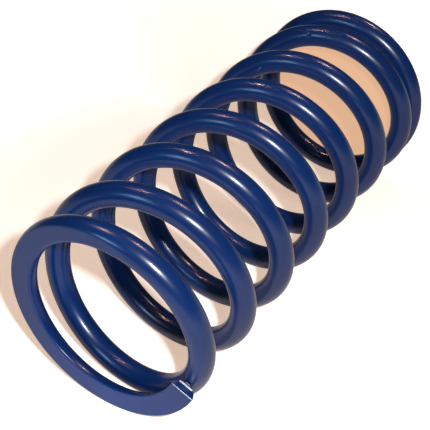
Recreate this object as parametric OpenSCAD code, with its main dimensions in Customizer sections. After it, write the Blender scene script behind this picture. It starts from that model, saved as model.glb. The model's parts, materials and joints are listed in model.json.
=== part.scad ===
// Coilover suspension spring: one length of round steel wire, wound into a right-hand compression coil
// with both ends closed and ground flat. It stands on its lower ground face, with the coil's axis along +Z
// and the origin at the centre of that face. All sizes are in millimetres.

/* [Coil] */
// Inside diameter, which fits round the collars of the damper
inside_d = 63.5; // [50:0.5:90]
// Diameter of the wire
wire_d = 9.5; // [7:0.1:13]
// Free length between the two ground faces
free_length = 190.5; // [150:0.5:300]
// Turns of wire from tip to tip
total_turns = 8.0625; // [6:0.0625:10]

/* [Ends] */
// Thickness that the grinding leaves of the wire at each tip
tip_thickness = 4.2; // [2.5:0.1:6]
// Turns at each end that lie closed beside the next coil
closed_turns = 0.62; // [0.5:0.01:0.9]
// Turns after those over which the coils open out to their full pitch
opening_turns = 0.52; // [0.3:0.01:1]
// Gap between each tip and the coil beside it
tip_gap = 0.3; // [0.2:0.1:1.5]
// Direction of the upper tip round the axis, in degrees from +X
upper_tip_angle = 157.5; // [0:0.5:359.5]

/* [Facets] */
// Sections along one turn of the wire
sections_per_turn = 32; // [24:4:36]
// Sides of each section of the wire
section_sides = 16; // [12:2:18]

/* [Hidden] */
wire_r = wire_d / 2;
coil_r = inside_d / 2 + wire_r;
half_turns = total_turns / 2;

// The ground face cuts the wire, so the wire's centre at a tip is near that face, on either side of it.
tip_z = tip_thickness - wire_r;

// The pitch is closed_pitch at each tip, grows evenly by opening_pitch over the opening turns, and stays
// there along the active coils. Two facts give both values: one turn past the tip the wire clears the tip
// by tip_gap, and half of the turns reach half of the free length.
opened_one = opened(1);
opened_half = opened(half_turns);
beside_tip = wire_d + tip_gap;
opening_pitch = (free_length / 2 - tip_z - beside_tip * half_turns) / (opened_half - opened_one * half_turns);
closed_pitch = beside_tip - opening_pitch * opened_one;

section_count = ceil(total_turns * sections_per_turn);

// The grinding cutters are wider than the coil and thicker than what they take off.
grind_w = 2 * (coil_r + wire_d);
grind_h = 2 * wire_d;

// Turns' worth of opening gathered over the first w turns from a tip
function opened(w) =
    w < closed_turns ? 0 :
    w < closed_turns + opening_turns ? pow(w - closed_turns, 2) / (2 * opening_turns) :
    w - closed_turns - opening_turns / 2;

// Share of the opening that the pitch has reached, w turns from a tip
function open_share(w) = min(1, max(0, (w - closed_turns) / opening_turns));

// Height of the wire's centre w turns from the lower tip, in the lower half of the coil
function rise(w) = tip_z + closed_pitch * w + opening_pitch * opened(w);

// Height of the wire's centre u turns from the lower tip: the upper half mirrors the lower one
function centre_z(u) = u <= half_turns ? rise(u) : free_length - rise(total_turns - u);

// Angle by which the wire climbs, u turns from the lower tip
function climb(u) = atan2(
    closed_pitch + opening_pitch * open_share(min(u, total_turns - u)),
    2 * PI * coil_r
);

// One section of the wire, square to its direction u turns from the lower tip. Its points run from the
// outermost one over the top to the innermost one, and back underneath.
function section(u) =
    let (turn = upper_tip_angle + 360 * (u - total_turns), slope = climb(u))
    [
        for (i = [0 : section_sides - 1])
        let (
            a = 360 * i / section_sides,
            radius = coil_r + wire_r * cos(a),
            along = -wire_r * sin(a) * sin(slope),
            height = wire_r * sin(a) * cos(slope)
        )
        [
            radius * cos(turn) - along * sin(turn),
            radius * sin(turn) + along * cos(turn),
            centre_z(u) + height
        ]
    ];

// The whole wire before grinding, swept along the coil and closed by its two cut-off ends
module wound_wire() {
    points = [for (s = [0 : section_count]) each section(total_turns * s / section_count)];
    sides = [
        for (s = [0 : section_count - 1], i = [0 : section_sides - 1])
        let (a = s * section_sides + i, b = s * section_sides + (i + 1) % section_sides)
        [a, b, b + section_sides, a + section_sides]
    ];
    lower_cut = [for (i = [section_sides - 1 : -1 : 0]) i];
    upper_cut = [for (i = [0 : section_sides - 1]) section_count * section_sides + i];
    polyhedron(points, concat([lower_cut], sides, [upper_cut]), convexity = 2 * ceil(total_turns));
}

// What the grinding takes off beyond a face at height z: dir is -1 below the face and 1 above it
module ground_off(z, dir) {
    translate([0, 0, z + dir * grind_h / 2])
        cube([grind_w, grind_w, grind_h], center = true);
}

module coil_spring() {
    color("midnightblue")
        difference() {
            wound_wire();
            ground_off(0, -1);
            ground_off(free_length, 1);
        }
}

coil_spring();
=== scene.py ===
"""Coilover spring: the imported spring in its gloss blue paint, on a pale floor and beside a pale sheet."""

import json
import math

import bpy
from mathutils import Euler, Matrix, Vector


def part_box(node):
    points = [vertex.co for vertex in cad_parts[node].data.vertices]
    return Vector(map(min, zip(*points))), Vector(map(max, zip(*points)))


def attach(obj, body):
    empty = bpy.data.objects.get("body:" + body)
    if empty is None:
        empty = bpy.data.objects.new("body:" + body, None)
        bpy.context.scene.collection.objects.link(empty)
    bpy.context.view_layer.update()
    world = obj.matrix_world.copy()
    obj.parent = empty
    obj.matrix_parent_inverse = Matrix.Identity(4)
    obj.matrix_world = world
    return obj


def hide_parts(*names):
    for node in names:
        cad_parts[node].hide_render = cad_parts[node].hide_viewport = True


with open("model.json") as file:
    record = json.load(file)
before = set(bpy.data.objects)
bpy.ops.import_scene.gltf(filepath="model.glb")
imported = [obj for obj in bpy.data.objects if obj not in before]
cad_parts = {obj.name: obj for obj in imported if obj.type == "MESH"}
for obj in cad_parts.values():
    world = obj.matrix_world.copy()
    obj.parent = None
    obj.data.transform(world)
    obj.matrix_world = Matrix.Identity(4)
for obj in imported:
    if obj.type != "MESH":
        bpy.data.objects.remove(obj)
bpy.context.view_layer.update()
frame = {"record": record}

# Coil spring: one length of round spring steel, cold wound into a right-hand coil with closed ends.
# The tips are cut off with a shear, both ends are ground flat and square to the coil's axis, and the
# whole is coated with a stoved gloss blue powder paint. Nothing is fixed to it.
spring_low, spring_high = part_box("coil_spring")
free_length = spring_high.z - spring_low.z
bore = next(mount for mount in frame["record"]["mounts"] if mount["name"] == "damper_bore")
inside_radius = bore["dims"]["r_mm"] / 1000
outside_radius = (spring_high.x - spring_low.x) / 2
wire_radius = (outside_radius - inside_radius) / 2
wound_radius = inside_radius + wire_radius
half_turns = 8.0625 / 2
closed_turns = 0.62
opening_turns = 0.52
tip_thickness = 0.0042
tip_gap = 0.0003
upper_tip = math.radians(157.5)
lower_tip = upper_tip - 2 * math.pi * 2 * half_turns


# The pitch opens evenly after the closed turns. This is its sum over so many turns from a tip.
def opened(turns):
    ramp = min(1.0, max(0.0, (turns - closed_turns) / opening_turns))
    return opening_turns * ramp ** 2 / 2 + max(0.0, turns - closed_turns - opening_turns)


# Both pitches follow from the free length and from the gap between a tip and the coil beside it.
tip_height = tip_thickness - wire_radius
beside_tip = 2 * wire_radius + tip_gap
opening_pitch = free_length / 2 - tip_height - beside_tip * half_turns
opening_pitch /= opened(half_turns) - opened(1) * half_turns
closed_pitch = beside_tip - opening_pitch * opened(1)


def feed(tree, socket, value):
    if isinstance(value, bpy.types.NodeSocket):
        tree.links.new(value, socket)
    else:
        socket.default_value = value


def add_node(tree, kind, **values):
    node = tree.nodes.new(kind)
    for name, value in values.items():
        feed(tree, node.inputs[name.replace("_", " ")], value)
    return node


def maths_of(tree, kind="ShaderNodeMath"):
    def calc(operation, *values):
        node = tree.nodes.new(kind)
        node.operation = operation
        for socket, value in zip(node.inputs, values):
            feed(tree, socket, value)
        return next(socket for socket in node.outputs if socket.enabled)
    return calc


def smooth_range(tree, **values):
    node = add_node(tree, "ShaderNodeMapRange", **values)
    node.interpolation_type = "SMOOTHSTEP"
    return node.outputs["Result"]


# A colour mix takes its two colours at the inputs 6 and 7, and gives the mixed one at the output 2.
def mixed_colours(tree, amount, start, end):
    node = add_node(tree, "ShaderNodeMix", Factor=amount)
    node.data_type = "RGBA"
    feed(tree, node.inputs[6], start)
    feed(tree, node.inputs[7], end)
    return node.outputs[2]


# The square of the way from the middle of a longish mark, which is 1 at the mark's edge
def mark_reach(tree, place, middle, run, half_length, half_width):
    scalar = maths_of(tree)
    vector = maths_of(tree, "ShaderNodeVectorMath")
    offset = vector("SUBTRACT", place, middle)
    lengthwise = vector("DOT_PRODUCT", offset, run)
    lengthwise = scalar("MULTIPLY", lengthwise, lengthwise)
    distance = vector("LENGTH", offset)
    sideways = scalar("SUBTRACT", scalar("MULTIPLY", distance, distance), lengthwise)
    sideways = scalar("DIVIDE", sideways, half_width ** 2)
    return scalar("MULTIPLY_ADD", lengthwise, half_length ** -2, sideways)


# The paint is a deep blue that drifts slightly in depth. It flows out smooth over the round wire, with
# a faint orange peel and a few dust nibs, and lies duller over the fine scratches of the ground faces.
paint = bpy.data.materials.new("gloss_blue_paint")
paint.use_nodes = True
paint_tree = paint.node_tree
paint_calc = maths_of(paint_tree)
paint_shader = paint_tree.nodes["Principled BSDF"]
paint_shader.inputs["Metallic"].default_value = 0.0
paint_shader.inputs["IOR"].default_value = 1.43
paint_place = paint_tree.nodes.new("ShaderNodeTexCoord").outputs["Object"]

paint_noise = add_node(paint_tree, "ShaderNodeTexNoise", Vector=paint_place, Scale=45.0, Detail=4.0)
paint_drift = paint_noise.outputs["Fac"]
paint_colour = add_node(paint_tree, "ShaderNodeValToRGB", Fac=paint_drift)
thin_coat, thick_coat = paint_colour.color_ramp.elements
thin_coat.position = 0.3
thin_coat.color = (0.0016, 0.0170, 0.088, 1.0)
thick_coat.position = 0.7
thick_coat.color = (0.0012, 0.0132, 0.072, 1.0)

# A scuff on the third coil up is a short lighter stroke in the paint: part scuffed paint, part a painted
# glint where its small dent would catch the light.
scuff_glint_colour = (0.018, 0.062, 0.14, 1.0)
scuff_glint_reach = mark_reach(
    paint_tree,
    paint_place,
    middle=(0.0164, -0.0320, 0.0549),
    run=Vector((-0.57, -0.82, 0.05)).normalized(),
    half_length=0.0026,
    half_width=0.0005,
)
scuff_glint = smooth_range(paint_tree, Value=scuff_glint_reach, To_Min=1.0, To_Max=0.0)
# The lighter stroke, part painted glint, is mixed into the base colour.
scuffed_and_glinting_colour = mixed_colours(paint_tree, scuff_glint, paint_colour.outputs["Color"], scuff_glint_colour)
feed(paint_tree, paint_shader.inputs["Base Color"], scuffed_and_glinting_colour)

# The ground faces are what lies within this depth of either end.
ground_depth = 0.00002
from_middle = add_node(paint_tree, "ShaderNodeSeparateXYZ", Vector=paint_place).outputs["Z"]
from_middle = paint_calc("ABSOLUTE", paint_calc("SUBTRACT", from_middle, free_length / 2))
on_ground_face = paint_calc("GREATER_THAN", from_middle, free_length / 2 - ground_depth)

least_roughness = 0.235
drift_roughness = 0.06
ground_roughness = 0.06
paint_roughness = paint_calc("MULTIPLY_ADD", paint_drift, drift_roughness, least_roughness)
paint_roughness = paint_calc("MULTIPLY_ADD", on_ground_face, ground_roughness, paint_roughness)
feed(paint_tree, paint_shader.inputs["Roughness"], paint_roughness)

# The relief of the paint, in millimetres
peel_rise = 0.022
nib_rise = 0.007
scratch_fall = 0.004
peel = add_node(paint_tree, "ShaderNodeTexNoise", Vector=paint_place, Scale=420.0, Detail=2.0)
peel_height = paint_calc("MULTIPLY", peel.outputs["Fac"], peel_rise)
dust = add_node(paint_tree, "ShaderNodeTexVoronoi", Vector=paint_place, Scale=150.0)
off_nib = smooth_range(paint_tree, Value=dust.outputs["Distance"], From_Max=0.035)
nib_height = paint_calc("MULTIPLY", paint_calc("SUBTRACT", 1.0, off_nib), nib_rise)
grinding = add_node(paint_tree, "ShaderNodeMapping", Vector=paint_place, Scale=(90.0, 2600.0, 1.0))
scratches = add_node(paint_tree, "ShaderNodeTexNoise", Vector=grinding.outputs["Vector"], Scale=1.0)
scratch_depth = paint_calc("MULTIPLY", scratches.outputs["Fac"], on_ground_face)
scratch_depth = paint_calc("MULTIPLY", scratch_depth, scratch_fall)
relief = paint_calc("SUBTRACT", paint_calc("ADD", peel_height, nib_height), scratch_depth)
paint_relief = add_node(paint_tree, "ShaderNodeBump", Height=relief, Strength=1.0, Distance=0.001)
feed(paint_tree, paint_shader.inputs["Normal"], paint_relief.outputs["Normal"])

# The wire's two halves are alike, so one is wound and turned over for the other.
winding = bpy.data.node_groups.new("wire_winding", "GeometryNodeTree")
winding.is_modifier = True
calc = maths_of(winding)
winding_sizes = {
    "Wound radius": wound_radius,
    "Wire radius": wire_radius,
    "Free length": free_length,
    "Half turns": half_turns,
    "Closed turns": closed_turns,
    "Opening turns": opening_turns,
    "Closed pitch": closed_pitch,
    "Opening pitch": opening_pitch,
    "Lower tip": lower_tip,
    "Upper tip": upper_tip,
    "Tip thickness": tip_thickness,
    "Tip rounding": 0.00012,
    "Ground edge rounding": 0.0007,
    "Cut length": 0.003,
}
winding_counts = {
    "Rings": 890,
    "Sides": 56,
    "Cap rings": 84,
    "Rim rings": 4,
}
for name in winding_sizes:
    winding.interface.new_socket(name=name, in_out="INPUT", socket_type="NodeSocketFloat")
for name in winding_counts:
    winding.interface.new_socket(name=name, in_out="INPUT", socket_type="NodeSocketInt")
winding.interface.new_socket(name="Paint", in_out="INPUT", socket_type="NodeSocketMaterial")
winding.interface.new_socket(name="Wire", in_out="OUTPUT", socket_type="NodeSocketGeometry")
given = winding.nodes.new("NodeGroupInput").outputs


def step(kind, **values):
    return add_node(winding, kind, **values)


def share(part, whole):
    divided = calc("DIVIDE", part, whole)
    divided.node.use_clamp = True
    return divided


def eased(part, whole):
    linear = share(part, whole)
    return calc("MULTIPLY", calc("MULTIPLY", linear, linear), calc("MULTIPLY_ADD", linear, -2.0, 3.0))


def between(start, end, along):
    return calc("MULTIPLY_ADD", calc("SUBTRACT", end, start), along, start)


# The half wire starts as a flat grid: its length is the way along the wire, its width the way round it.
grid = step(
    "GeometryNodeMeshGrid",
    Size_X=1.0,
    Size_Y=1.0,
    Vertices_X=given["Rings"],
    Vertices_Y=calc("ADD", given["Sides"], 1),
)
grid_place = winding.nodes.new("GeometryNodeInputPosition").outputs["Position"]
grid_ways = step("ShaderNodeSeparateXYZ", Vector=grid_place).outputs
last_ring = calc("SUBTRACT", given["Rings"], 1)
ring = calc("MULTIPLY", calc("ADD", grid_ways["X"], 0.5), last_ring)
round_wire = calc("MULTIPLY", calc("ADD", grid_ways["Y"], 0.5), 2 * math.pi)

# The first rings are rows across the cut tip, the next ones round its rim, and the rest are the wire.
spread = share(ring, given["Cap rings"])
past_cap = calc("SUBTRACT", ring, given["Cap rings"])
rim_angle = calc("MULTIPLY", share(past_cap, given["Rim rings"]), math.pi / 2)
past_rim = calc("SUBTRACT", past_cap, given["Rim rings"])
tip_rings = calc("ADD", given["Cap rings"], given["Rim rings"])
body = share(past_rim, calc("SUBTRACT", last_ring, tip_rings))
drawn_in = calc("MULTIPLY", given["Tip rounding"], calc("SUBTRACT", 1.0, calc("SINE", rim_angle)))
set_back = calc("MULTIPLY", given["Tip rounding"], calc("SUBTRACT", 1.0, calc("COSINE", rim_angle)))

# Turns gone from the tip, with the rings closer together near it
tip_gathering = 0.35
turn_length = calc("MULTIPLY", given["Wound radius"], 2 * math.pi)
body_turns = calc("SUBTRACT", given["Half turns"], calc("DIVIDE", given["Tip rounding"], turn_length))
gathered = calc("MULTIPLY", body, calc("MULTIPLY_ADD", body, tip_gathering, 1 - tip_gathering))
turns = calc("MULTIPLY_ADD", gathered, body_turns, calc("DIVIDE", set_back, turn_length))

# A knock has dented the second coil up, so many turns from the lower tip. The rings also gather there.
knock_turns = 1.4122
knock_reach = 0.045
knock_gathering = 0.8
off_knock = calc("DIVIDE", calc("SUBTRACT", turns, knock_turns), knock_reach)
nearness = calc("EXPONENT", calc("MULTIPLY", calc("MULTIPLY", off_knock, off_knock), -1.0))
drawn = calc("MULTIPLY", off_knock, nearness)
turns = calc("MULTIPLY_ADD", drawn, -knock_gathering * knock_reach, turns)

# Height and slope of the wire's centre line
past_closed = calc("SUBTRACT", turns, given["Closed turns"])
ramp = share(past_closed, given["Opening turns"])
ramp_turns = calc("MULTIPLY", calc("MULTIPLY", ramp, ramp), calc("MULTIPLY", given["Opening turns"], 0.5))
open_turns = calc("MAXIMUM", calc("SUBTRACT", past_closed, given["Opening turns"]), 0.0)
rise = calc("MULTIPLY", given["Opening pitch"], calc("ADD", ramp_turns, open_turns))
rise = calc("MULTIPLY_ADD", given["Closed pitch"], turns, rise)
rise = calc("ADD", rise, calc("SUBTRACT", given["Tip thickness"], given["Wire radius"]))
pitch = calc("MULTIPLY_ADD", given["Opening pitch"], ramp, given["Closed pitch"])
slope = calc("ARCTAN2", pitch, turn_length)

# The ground face's edge, as an angle round the section. Past the face, this angle eases back to level,
# over a rise of so many wire radii.
lowest_sine = -0.97
settling_radii = 2.5
section_radius = calc("SUBTRACT", given["Wire radius"], drawn_in)
section_height = calc("MULTIPLY", section_radius, calc("COSINE", slope))
edge_sine = calc("DIVIDE", calc("SUBTRACT", drawn_in, rise), section_height)
edge_angle = calc("ARCSINE", calc("MAXIMUM", edge_sine, lowest_sine))
past_face = calc("MULTIPLY_ADD", given["Wire radius"], lowest_sine, rise)
settled = eased(past_face, calc("MULTIPLY", given["Wire radius"], settling_radii))
unsettled = calc("SUBTRACT", 1.0, settled)
edge_angle = calc("MULTIPLY", edge_angle, unsettled)
edge_sine = calc("SINE", edge_angle)
edge_cosine = calc("COSINE", edge_angle)
edge_out = calc("MULTIPLY", section_radius, edge_cosine)

# The upper sides lie on the arc from edge to edge, closer together near the edges.
edge_gathering = 0.4
gathering = calc("SINE", calc("MULTIPLY", round_wire, 2.0))
gathering = calc("MULTIPLY", gathering, calc("MULTIPLY", unsettled, edge_gathering))
arc_span = calc("MULTIPLY_ADD", edge_angle, -2 / math.pi, 1.0)
arc_angle = calc("MULTIPLY_ADD", calc("SUBTRACT", round_wire, gathering), arc_span, edge_angle)
arc_out = calc("MULTIPLY", section_radius, calc("COSINE", arc_angle))
arc_up = calc("MULTIPLY", section_height, calc("SINE", arc_angle))

# The lower sides lie below the edges, and the grinding lifts them to the level of the ground face.
under_cosine = calc("COSINE", round_wire)
under_out = calc("MULTIPLY", edge_out, under_cosine)
under_sine = calc("SINE", round_wire)
under_side = calc("MULTIPLY", edge_sine, under_cosine)
under_square = calc("MULTIPLY_ADD", under_sine, under_sine, calc("MULTIPLY", under_side, under_side))
under_up = calc("MULTIPLY", calc("MULTIPLY", section_height, calc("SQRT", under_square)), -1.0)
under = calc("GREATER_THAN", round_wire, math.pi)
outward = between(arc_out, under_out, under)
height = calc("ADD", rise, between(arc_up, under_up, under))
height = calc("MAXIMUM", height, drawn_in)

# The edge of the ground face is rounded off, and falls by this share of the rounding's reach.
edge_fall = 0.25


def rounded_off(out, up):
    off_out = calc("SUBTRACT", calc("ABSOLUTE", out), edge_out)
    off_up = calc("SUBTRACT", up, drawn_in)
    off_edge = calc("SQRT", calc("MULTIPLY_ADD", off_out, off_out, calc("MULTIPLY", off_up, off_up)))
    near_edge = calc("MAXIMUM", calc("SUBTRACT", given["Ground edge rounding"], off_edge), 0.0)
    rounding_length = calc("MULTIPLY", given["Ground edge rounding"], 1 / edge_fall)
    rounding = calc("DIVIDE", calc("MULTIPLY", near_edge, near_edge), rounding_length)
    inward = calc("MULTIPLY", rounding, calc("ADD", edge_sine, 1.0))
    inward = calc("MULTIPLY", inward, calc("SIGN", out))
    return calc("SUBTRACT", out, inward), calc("MULTIPLY_ADD", rounding, edge_cosine, up)


outward, height = rounded_off(outward, height)
foot_out, foot_height = rounded_off(under_out, drawn_in)

# The rows across the cut tip are level, from the foot on the ground face up to the arc.
row_height = calc("MULTIPLY_ADD", given["Tip thickness"], spread, drawn_in)
row_height = calc("MINIMUM", calc("MAXIMUM", row_height, foot_height), height)
row_share = share(calc("SUBTRACT", row_height, foot_height), calc("SUBTRACT", height, foot_height))
row_out = between(foot_out, outward, row_share)
on_cap = calc("LESS_THAN", spread, 1.0)
outward = between(outward, row_out, on_cap)
height = between(height, row_height, on_cap)
along = calc("MULTIPLY", calc("SUBTRACT", rise, height), calc("TANGENT", slope))

# The shear leaves a bevel along the ground edge, and two ledges of torn wire that stand proud of its cut.
# Each is a depth below the ground face, the height over which it rises, and how far it stands out.
bevel_proud = 0.00021
cut_steps = [
    (0.0, 0.0004, bevel_proud),
    (0.0027, 0.0006, 0.00032),
    (0.0038, 0.0002, 0.00010),
]
proud = -bevel_proud
for depth, step_rise, step_proud in cut_steps:
    proud = calc("MULTIPLY_ADD", share(calc("SUBTRACT", height, depth), step_rise), step_proud, proud)
fading = calc("SUBTRACT", 1.0, share(calc("MULTIPLY", turns, turn_length), given["Cut length"]))
along = calc("SUBTRACT", along, calc("MULTIPLY", proud, fading))

# Round the coil's axis
angle = calc("MULTIPLY_ADD", turns, 2 * math.pi, given["Lower tip"])
radius = calc("ADD", given["Wound radius"], outward)
angle_cos = calc("COSINE", angle)
angle_sin = calc("SINE", angle)
wound_x = calc("SUBTRACT", calc("MULTIPLY", radius, angle_cos), calc("MULTIPLY", along, angle_sin))
wound_y = calc("ADD", calc("MULTIPLY", radius, angle_sin), calc("MULTIPLY", along, angle_cos))
wound = step("ShaderNodeCombineXYZ", X=wound_x, Y=wound_y, Z=height)
half_wire = step("GeometryNodeSetPosition", Geometry=grid.outputs["Mesh"], Position=wound.outputs["Vector"])

# The upper half is the lower one turned over about a level axis midway between the two tips.
weld_distance = 0.000001
both_tips = calc("ADD", given["Lower tip"], given["Upper tip"])
turned = step("ShaderNodeCombineXYZ", X=math.pi, Y=0.0, Z=both_tips)
lifted = step("ShaderNodeCombineXYZ", X=0.0, Y=0.0, Z=given["Free length"])
upper_half = step(
    "GeometryNodeTransform",
    Geometry=half_wire.outputs["Geometry"],
    Translation=lifted.outputs["Vector"],
    Rotation=step("FunctionNodeEulerToRotation", Euler=turned.outputs["Vector"]).outputs["Rotation"],
)
halves = winding.nodes.new("GeometryNodeJoinGeometry")
winding.links.new(half_wire.outputs["Geometry"], halves.inputs["Geometry"])
winding.links.new(upper_half.outputs["Geometry"], halves.inputs["Geometry"])
welded = step("GeometryNodeMergeByDistance", Geometry=halves.outputs["Geometry"], Distance=weld_distance)

# The knock is pressed in along the surface's normal, at this angle round the wire.
knock_round = math.radians(71.3)
knock_depth = 0.00038
knock_angle = lower_tip + 2 * math.pi * knock_turns
knock_radius = wound_radius + wire_radius * math.cos(knock_round)
knock_height = tip_height + closed_pitch * knock_turns + opening_pitch * opened(knock_turns)
knock_height += wire_radius * math.sin(knock_round)
knock_edge = mark_reach(
    winding,
    winding.nodes.new("GeometryNodeInputPosition").outputs["Position"],
    middle=(knock_radius * math.cos(knock_angle), knock_radius * math.sin(knock_angle), knock_height),
    run=Vector((0.98, 0.20, 0.05)).normalized(),
    half_length=0.0015,
    half_width=0.0025,
)
knock_edge = calc("SQRT", knock_edge)
hollow = calc("MULTIPLY", eased(calc("SUBTRACT", 1.0, knock_edge), 1.0), -knock_depth)
surface_normal = winding.nodes.new("GeometryNodeInputNormal").outputs["Normal"]
knocked_in = maths_of(winding, "ShaderNodeVectorMath")("MULTIPLY", surface_normal, hollow)
knocked = step("GeometryNodeSetPosition", Geometry=welded.outputs["Geometry"], Offset=knocked_in)

realized = step("GeometryNodeRealizeInstances", Geometry=knocked.outputs["Geometry"])
smoothed = step("GeometryNodeSetShadeSmooth", Geometry=realized.outputs["Geometry"], Shade_Smooth=True)
painted = step("GeometryNodeSetMaterial", Geometry=smoothed.outputs["Geometry"], Material=given["Paint"])
winding.links.new(painted.outputs["Geometry"], winding.nodes.new("NodeGroupOutput").inputs["Wire"])

wire = bpy.data.objects.new("wound_wire", bpy.data.meshes.new("wound_wire_blank"))
bpy.context.scene.collection.objects.link(wire)
wind_up = wire.modifiers.new("wind_up", "NODES")
wind_up.node_group = winding
winding_values = {**winding_sizes, **winding_counts, "Paint": paint}
for item in winding.interface.items_tree:
    if item.in_out == "INPUT":
        wind_up[item.identifier] = winding_values[item.name]
evaluated_wire = wire.evaluated_get(bpy.context.evaluated_depsgraph_get())
wire_mesh = bpy.data.meshes.new_from_object(evaluated_wire)
wire.modifiers.clear()
wire.data = wire_mesh
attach(wire, "root")
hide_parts("coil_spring")

# Pale floor and sheet: the spring stands on the one and its side lies against the other along a line.
# Both are plain, matt and pale, with a painted warm shade in their glow near the spring, and paler still
# away from it. Seen from behind each is clear, so that the spring shows from there too.
stage_reach = 6.0
sheet_turn = math.radians(2.54)
sheet_out = Vector((-math.sin(sheet_turn), math.cos(sheet_turn), 0.0))
sheet_side = Vector((math.cos(sheet_turn), math.sin(sheet_turn), 0.0))
upward = Vector((0.0, 0.0, 1.0))
spring_middle = Vector((0.0, 0.0, free_length / 2))

stage_matt = bpy.data.materials.new("pale_matt")
stage_matt.use_nodes = True
stage_tree = stage_matt.node_tree
stage_calc = maths_of(stage_tree)
stage_vector = maths_of(stage_tree, "ShaderNodeVectorMath")
matt = stage_tree.nodes["Principled BSDF"]
matt.inputs["Roughness"].default_value = 0.6
matt.inputs["Specular IOR Level"].default_value = 0.2
ray = stage_tree.nodes.new("ShaderNodeLightPath").outputs
stage_place = stage_tree.nodes.new("ShaderNodeTexCoord").outputs["Object"]

# To the eye the matt face is paler than to the light that it throws back on the spring. The floor inside
# the spring's lower end is given a painted warm shade, in its matt colour and in its glow.
lighting_matt = (0.52, 0.52, 0.52, 1.0)
painted_shade_matt = (0.12, 0.06, 0.03, 1.0)
open_matt = (0.86, 0.86, 0.86, 1.0)
from_foot = stage_vector("LENGTH", stage_place)
open_floor = smooth_range(stage_tree, Value=from_foot, From_Min=0.035, From_Max=0.042)
seen_matt = mixed_colours(stage_tree, open_floor, painted_shade_matt, open_matt)
matt_colour = mixed_colours(stage_tree, ray["Is Camera Ray"], lighting_matt, seen_matt)
feed(stage_tree, matt.inputs["Base Color"], matt_colour)

# The pale glow is there for the eye and, less strong, for reflections, and lights nothing.
# Near the spring the glow is warm and dimmer, a painted warm shade; far off it is near white.
painted_shade_glow = (0.73, 0.44, 0.275, 1.0)
near_shade_glow = (0.66, 0.475, 0.36, 1.0)
far_glow = (0.93, 0.925, 0.92, 1.0)
mirrored_strength = 0.6
mirrored = stage_calc("ADD", ray["Is Glossy Ray"], ray["Is Transmission Ray"])
glow_strength = stage_calc("MULTIPLY_ADD", mirrored, mirrored_strength, ray["Is Camera Ray"])
glow_strength.node.use_clamp = True
from_spring = stage_vector("DISTANCE", stage_place, spring_middle)
far_off = smooth_range(stage_tree, Value=from_spring, From_Min=0.11, From_Max=0.24)
# Inside the spring's lower end the glow takes the painted warm shade.
glow_colour = mixed_colours(stage_tree, open_floor, painted_shade_glow, near_shade_glow)
glow_colour = mixed_colours(stage_tree, far_off, glow_colour, far_glow)
glow = add_node(stage_tree, "ShaderNodeEmission", Color=glow_colour, Strength=glow_strength)

lit = stage_tree.nodes.new("ShaderNodeAddShader")
feed(stage_tree, lit.inputs[0], matt.outputs["BSDF"])
feed(stage_tree, lit.inputs[1], glow.outputs["Emission"])
clear = stage_tree.nodes.new("ShaderNodeBsdfTransparent")
facing = stage_tree.nodes.new("ShaderNodeNewGeometry")
sides = add_node(stage_tree, "ShaderNodeMixShader", Fac=facing.outputs["Backfacing"])
feed(stage_tree, sides.inputs[1], lit.outputs["Shader"])
feed(stage_tree, sides.inputs[2], clear.outputs["BSDF"])
feed(stage_tree, stage_tree.nodes["Material Output"].inputs["Surface"], sides.outputs["Shader"])


def lay_out(name, foot, side_a, side_b):
    spread_a = side_a * stage_reach
    spread_b = side_b * stage_reach
    corners = [
        foot - spread_a - spread_b,
        foot + spread_a - spread_b,
        foot + spread_a + spread_b,
        foot - spread_a + spread_b,
    ]
    mesh = bpy.data.meshes.new(name)
    mesh.from_pydata(corners, [], [(0, 1, 2, 3)])
    mesh.materials.append(stage_matt)
    surface = bpy.data.objects.new(name, mesh)
    surface.visible_shadow = False
    bpy.context.scene.collection.objects.link(surface)
    return surface


lay_out("pale_sheet", sheet_out * outside_radius, sheet_side, upward)
floor = lay_out("pale_floor", Vector((0.0, 0.0, 0.0)), sheet_side, sheet_out)
floor.visible_glossy = False

# Camera: near the upper end and over the spring's side, so that the near ground face and its tip show.
# Its place, turn and lens are those at which the spring's outline falls on the photographed one.
camera_data = bpy.data.cameras.new("camera")
camera_data.lens = 78.9
camera_data.sensor_width = 36.0
camera = bpy.data.objects.new("camera", camera_data)
camera.location = (-0.148326, -0.234131, 0.371395)
camera_turns = (-37.2068, 31.7666, -177.4593)
camera.rotation_euler = Euler([math.radians(turn) for turn in camera_turns], "XYZ")
bpy.context.scene.collection.objects.link(camera)
bpy.context.scene.camera = camera

# Light: a small soft lamp beside the camera, two cool ones over the near end, two small warm ones further
# off and a large one behind, in a dim warm room. All but the first light the spring alone. The small lamps
# draw the streaks and specks along the glossy coils.


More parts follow.
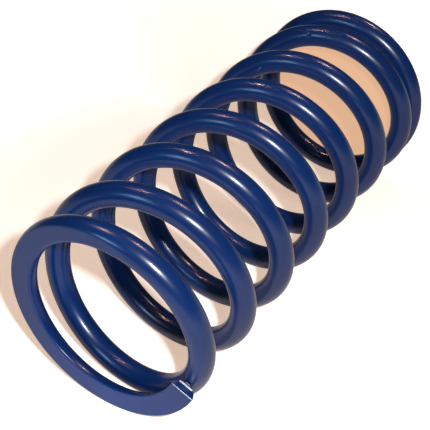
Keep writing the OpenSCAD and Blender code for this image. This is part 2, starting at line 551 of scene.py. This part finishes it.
def hang_lamp(name, place, size, watts, colour, spread_degrees=180.0):
    lamp_data = bpy.data.lights.new(name, "AREA")
    lamp_data.shape = "DISK"
    lamp_data.size = size
    lamp_data.spread = math.radians(spread_degrees)
    lamp_data.energy = watts
    lamp_data.color = colour
    lamp = bpy.data.objects.new(name, lamp_data)
    lamp.location = place
    lamp.rotation_euler = (spring_middle - place).to_track_quat("-Z", "Y").to_euler()
    lamp.visible_camera = False
    bpy.context.scene.collection.objects.link(lamp)
    return lamp


hang_lamp(
    "lamp_by_camera",
    place=Vector((-0.177, -0.2574, 0.3481)),
    size=0.015,
    watts=1.9,
    colour=(1.0, 0.99, 0.98),
)
cool_lamp = hang_lamp(
    "cool_lamp",
    place=spring_middle + Vector((0.30, -0.40, 0.87)),
    size=0.2,
    watts=2.1,
    colour=(0.50, 0.78, 1.0),
)
cool_lamp.visible_diffuse = False
end_lamp = hang_lamp(
    "end_lamp",
    place=Vector((-0.005, 0.036, free_length + 0.06)),
    size=0.02,
    watts=0.06,
    colour=(0.40, 0.90, 1.0),
)
end_lamp.visible_glossy = False
warm_colour = (1.0, 0.60, 0.45)
warm_lamp_a = hang_lamp(
    "warm_lamp_a",
    place=spring_middle + Vector((-0.12, -1.056, -0.54)),
    size=0.05,
    watts=0.5,
    colour=warm_colour,
    spread_degrees=60.0,
)
warm_lamp_b = hang_lamp(
    "warm_lamp_b",
    place=spring_middle + Vector((0.468, -1.08, 0.06)),
    size=0.05,
    watts=0.4,
    colour=warm_colour,
    spread_degrees=60.0,
)
back_lamp = hang_lamp(
    "back_lamp",
    place=spring_middle + Vector((0.2, 1.0, 0.35)),
    size=0.4,
    watts=4.0,
    colour=(1.0, 0.97, 0.94),
)
back_lamp.visible_glossy = False
spring_alone = bpy.data.collections.new("spring_alone")
spring_alone.objects.link(wire)
for lamp in (cool_lamp, end_lamp, warm_lamp_a, warm_lamp_b, back_lamp):
    lamp.light_linking.receiver_collection = spring_alone

room = bpy.data.worlds.new("room")
room.use_nodes = True
room_light = room.node_tree.nodes["Background"].inputs
room_light["Color"].default_value = (1.0, 0.82, 0.66, 1.0)
room_light["Strength"].default_value = 0.03
bpy.context.scene.world = room
bpy.context.scene.view_settings.view_transform = "Standard"
